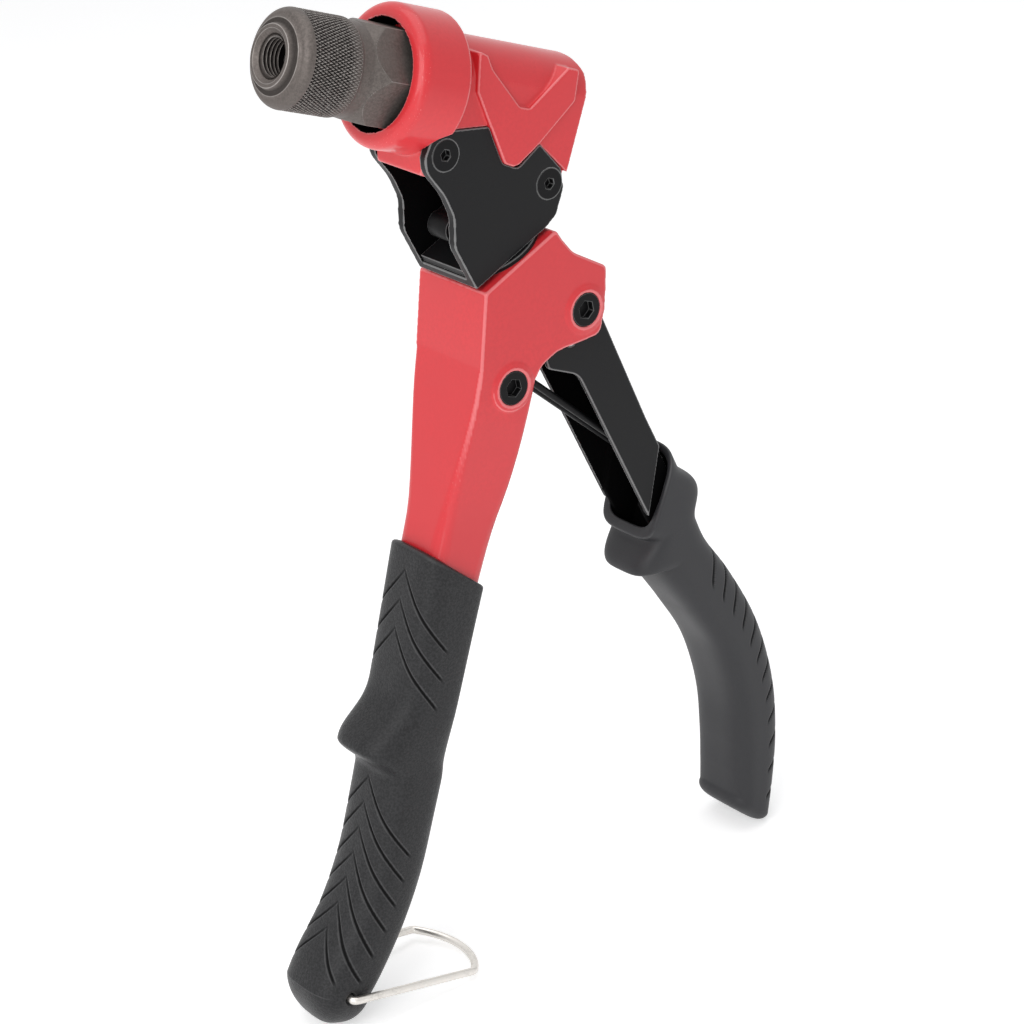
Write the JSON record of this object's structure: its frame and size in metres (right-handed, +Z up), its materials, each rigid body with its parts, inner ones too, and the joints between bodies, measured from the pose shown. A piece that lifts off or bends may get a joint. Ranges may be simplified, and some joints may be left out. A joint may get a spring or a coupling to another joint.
{
  "type": "riveting pliers",
  "caption": "Hand-operated riveting pliers with a red cast swivelling head, a knurled nose sleeve, a squeeze lever and two dark rubber grips.",
  "frame": {"origin": "bottom centre of the box round the tool as it stands on the ends of its two grips", "axes": "+Z up, longest; +X away from the nose, from the fixed grip to the lever; +Y across the tool"},
  "size_m": [0.1892, 0.0408, 0.3109],
  "materials": {
    "red_enamel": "smooth semi-gloss enamel",
    "black_enamel": "satin black enamel",
    "phosphated_steel": "turned, phosphated, dark grey",
    "black_oxide": "black oxide, slightly glossy",
    "ground_steel": "ground bright",
    "nickel_wire": "nickel plated",
    "bronze": "turned",
    "black_rubber": "fine matt grain",
    "charcoal_rubber": "smooth satin"
  },
  "bodies": {
    "handle": {"handle_frame": "red_enamel", "fixed_grip": "black_rubber", "swivel_hub": "phosphated_steel", "swivel_disc": "black_oxide", "swivel_ring": "black_oxide", "pivot_barrel": "ground_steel", "pivot_screws": "black_oxide", "spring_barrel": "ground_steel", "spring_screws": "black_oxide", "torsion_spring": "black_oxide"},
    "head": {"head_housing": "red_enamel", "nose_sleeve": "phosphated_steel", "bracket": "black_enamel", "base_plate": "black_enamel", "front_bracket_screws": "black_oxide", "rear_bracket_screws": "black_oxide", "crank_pin": "ground_steel", "front_spacer": "ground_steel", "spring_bush": "bronze", "return_spring": "ground_steel"},
    "push_rod": {"push_rod": "ground_steel"},
    "bell_crank": {"bell_crank": "black_oxide"},
    "draw_bar": {"draw_bar": "ground_steel", "draw_yoke": "phosphated_steel"},
    "lever": {"lever_arm": "black_enamel", "lever_cam": "phosphated_steel", "cam_rivets": "ground_steel", "lever_bush": "bronze", "lever_grip": "charcoal_rubber"},
    "bail": {"wire_bail": "nickel_wire"}
  },
  "joints": [
    {"name": "lever_pivot", "type": "hinge", "parent": "handle", "child": "lever", "pos_m": [0.01888, 0, 0.20579], "axis": [0, 1, 0], "range_deg": [0, 30], "stiffness_Nm_per_rad": 1.5, "springref_deg": -20.05, "deforming": ["torsion_spring"]},
    {"name": "head_swivel", "type": "hinge", "parent": "handle", "child": "head", "pos_m": [-0.00243, 0, 0.22879], "axis": [-0.4022, 0, 0.9156], "continuous": true},
    {"name": "rod_slide", "type": "slide", "parent": "handle", "child": "push_rod", "axis": [-0.4022, 0, 0.9156], "range_m": [0, 0.0055]},
    {"name": "crank_pivot", "type": "hinge", "parent": "head", "child": "bell_crank", "pos_m": [0.0103, 0, 0.24604], "axis": [0, 1, 0], "range_deg": [0, 17]},
    {"name": "bar_draw", "type": "slide", "parent": "head", "child": "draw_bar", "axis": [0.9318, 0, -0.363], "range_m": [0, 0.0062], "deforming": ["return_spring"]},
    {"name": "bail_pivot", "type": "hinge", "parent": "handle", "child": "bail", "pos_m": [-0.08489, 0, 0.013], "axis": [0, 1, 0], "range_deg": [-45, 200]}
  ],
  "couplings": [
    {"joint": "rod_slide", "follows": "lever_pivot", "m_per_rad": 0.010253},
    {"joint": "crank_pivot", "follows": "lever_pivot", "ratio": 0.55133},
    {"joint": "bar_draw", "follows": "lever_pivot", "m_per_rad": 0.011363}
  ]
}
